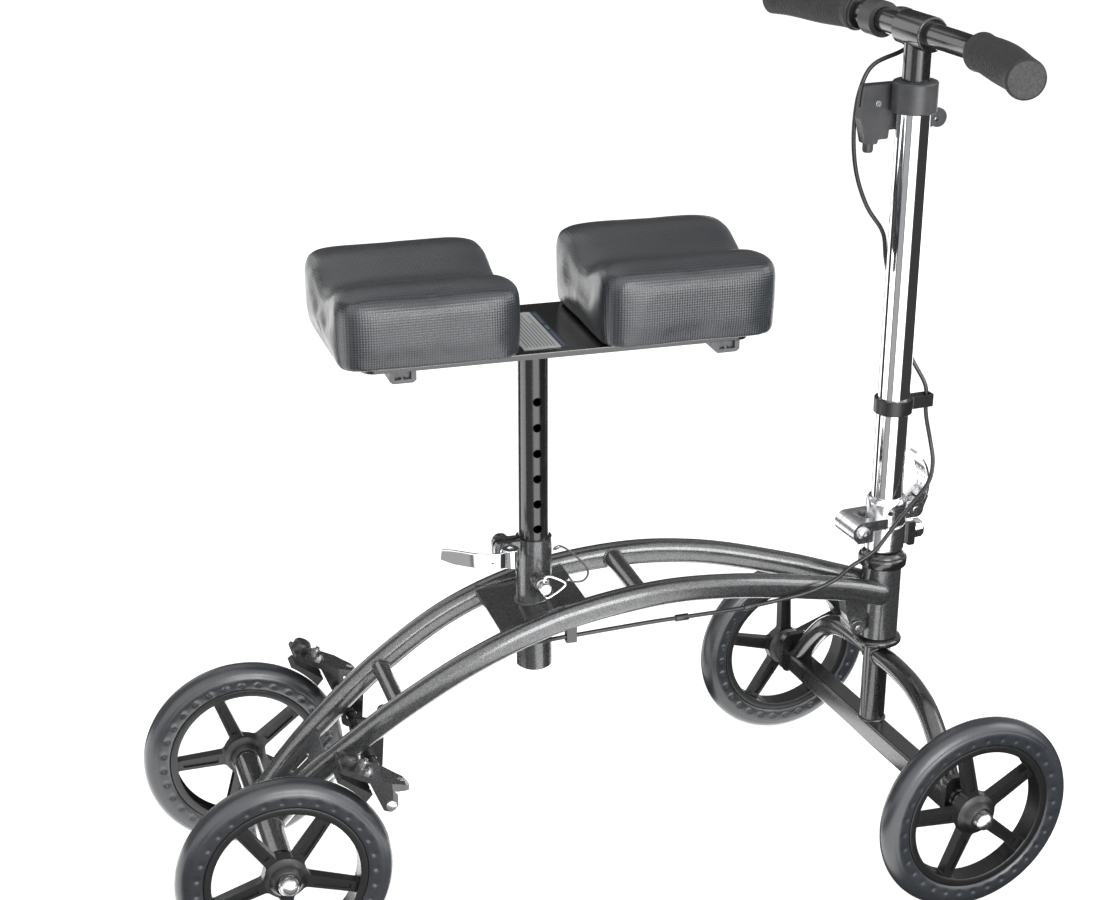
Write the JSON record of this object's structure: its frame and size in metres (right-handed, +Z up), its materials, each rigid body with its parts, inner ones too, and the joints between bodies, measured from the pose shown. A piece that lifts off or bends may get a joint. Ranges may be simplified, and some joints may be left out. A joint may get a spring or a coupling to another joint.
{
  "type": "knee scooter",
  "caption": "Steerable knee scooter: arched twin-rail frame, padded split seat on a height post, folding chrome column, hand brake, spoked solid wheels.",
  "frame": {"origin": "centre of the footprint at floor level, under the middle of the overall bounding box", "axes": "+X forward (direction of travel), +Y to the rider's left, +Z up"},
  "size_m": [0.8462, 0.4509, 0.8176],
  "materials": {
    "vein": "silver vein textured powder coat",
    "black_paint": "gloss black powder coat",
    "chrome": "polished chrome plate",
    "zinc": "bright zinc plate",
    "plastic": "black moulded plastic",
    "grey_plastic": "dark grey moulded plastic",
    "tyre": "smooth blue-grey solid tyre with dimpled sidewall",
    "vinyl": "dark grey fabric-backed vinyl, small woven emboss",
    "rubber": "black rubber",
    "label": "printed film sticker, plain",
    "cable": "black cable housing"
  },
  "bodies": {
    "frame": {"frame_rail_left": "vein", "frame_rail_right": "vein", "cross_tube_front": "vein", "cross_tube_rear": "vein", "seat_gusset": "vein", "post_sleeve": "vein", "head_tube": "vein", "headset_cup_upper": "black_paint", "headset_cup_lower": "black_paint", "rear_gusset": "vein", "rear_axle_tube": "vein", "rear_axle": "zinc", "brake_hanger_left": "black_paint", "brake_hanger_right": "black_paint", "cable_stop": "black_paint", "seat_clamp_bolt": "chrome", "brake_cable": "cable", "pin_lanyard": "cable"},
    "seat": {"seat_post": "black_paint", "seat_plate": "black_paint", "rear_pad": "vinyl", "front_pad": "vinyl", "pad_bracket_rear": "grey_plastic", "pad_bracket_front": "grey_plastic", "seat_label": "label"},
    "seat_lever": {"seat_clamp_lever": "chrome"},
    "pin": {"pull_pin": "zinc", "pin_bail": "chrome"},
    "front_end": {"fork_steerer": "black_paint", "fork_crossbar": "black_paint", "fork_arm_left": "black_paint", "fork_arm_right": "black_paint", "front_axle_left": "zinc", "front_axle_right": "zinc", "fold_base": "chrome", "fold_pin": "zinc", "fold_latch_knob": "chrome"},
    "column": {"column_tube": "chrome", "fold_collar": "chrome", "cable_strap": "plastic", "height_clamp": "grey_plastic"},
    "column_latch": {"fold_lever": "grey_plastic"},
    "handlebars": {"handlebar_stem": "black_paint", "handlebar": "black_paint", "grip_left": "rubber", "grip_right": "rubber", "brake_lever_body": "grey_plastic"},
    "height_clamp_lever": {"height_lever": "grey_plastic"},
    "hand_brake": {"brake_lever": "grey_plastic"},
    "brake_arms": {"brake_yoke": "black_paint", "brake_shoe_left": "rubber", "brake_shoe_right": "rubber"},
    "wheel_rear_left": {"tyre_rear_left": "tyre", "rim_rear_left": "plastic"},
    "wheel_rear_right": {"tyre_rear_right": "tyre", "rim_rear_right": "plastic"},
    "wheel_front_left": {"tyre_front_left": "tyre", "rim_front_left": "plastic"},
    "wheel_front_right": {"tyre_front_right": "tyre", "rim_front_right": "plastic"}
  },
  "joints": [
    {"name": "steering", "type": "hinge", "parent": "frame", "child": "front_end", "pos_m": [0.3046, 0, 0.24], "axis": [0, 0, 1], "range_deg": [-45.5, 34.5], "deforming": ["brake_cable"]},
    {"name": "front_wheel_left_spin", "type": "hinge", "parent": "front_end", "child": "wheel_front_left", "pos_m": [0.2859, 0.19209, 0.1], "axis": [-0.0969, 0.9953, 0], "continuous": true},
    {"name": "front_wheel_right_spin", "type": "hinge", "parent": "front_end", "child": "wheel_front_right", "pos_m": [0.3233, -0.19209, 0.1], "axis": [-0.0969, 0.9953, 0], "continuous": true},
    {"name": "rear_wheel_left_spin", "type": "hinge", "parent": "frame", "child": "wheel_rear_left", "pos_m": [-0.3234, 0.117, 0.1], "axis": [0, 1, 0], "continuous": true},
    {"name": "rear_wheel_right_spin", "type": "hinge", "parent": "frame", "child": "wheel_rear_right", "pos_m": [-0.3234, -0.117, 0.1], "axis": [0, 1, 0], "continuous": true},
    {"name": "column_fold", "type": "hinge", "parent": "front_end", "child": "column", "pos_m": [0.26976, -0.00339, 0.324], "axis": [0.0969, -0.9953, 0], "range_deg": [0, 23], "deforming": ["brake_cable"]},
    {"name": "fold_latch", "type": "hinge", "parent": "column", "child": "column_latch", "pos_m": [0.33247, 0.00271, 0.336], "axis": [-0.0969, 0.9953, 0], "range_deg": [0, 60]},
    {"name": "handlebar_height", "type": "slide", "parent": "column", "child": "handlebars", "axis": [0, 0, 1], "range_m": [-0.015, 0.18], "deforming": ["brake_cable"]},
    {"name": "height_clamp_open", "type": "hinge", "parent": "column", "child": "height_clamp_lever", "pos_m": [0.27193, 0.02596, 0.714], "axis": [0, 0, 1], "range_deg": [0, 100]},
    {"name": "brake_squeeze", "type": "hinge", "parent": "handlebars", "child": "hand_brake", "pos_m": [0.32613, 0.0885, 0.796], "axis": [0, 0, 1], "range_deg": [0, 16], "stiffness_Nm_per_rad": 2, "springref_deg": -2.86},
    {"name": "brake_apply", "type": "hinge", "parent": "frame", "child": "brake_arms", "pos_m": [-0.2264, 0, 0.165], "axis": [0, -1, 0], "range_deg": [0, 5.5], "stiffness_Nm_per_rad": 6, "springref_deg": -2.86, "deforming": ["brake_cable"]},
    {"name": "seat_height", "type": "slide", "parent": "frame", "child": "seat", "axis": [0, 0, 1], "range_m": [-0.175, 0.025]},
    {"name": "seat_clamp_open", "type": "hinge", "parent": "frame", "child": "seat_lever", "pos_m": [-0.0834, -0.021, 0.343], "axis": [0, 0, 1], "range_deg": [0, 120]},
    {"name": "pin_pull", "type": "slide", "parent": "frame", "child": "pin", "axis": [0, -1, 0], "range_m": [0, 0.009], "stiffness_N_per_m": 300, "springref_m": -0.01}
  ],
  "couplings": [
    {"joint": "brake_apply", "follows": "brake_squeeze", "ratio": 0.34375}
  ]
}
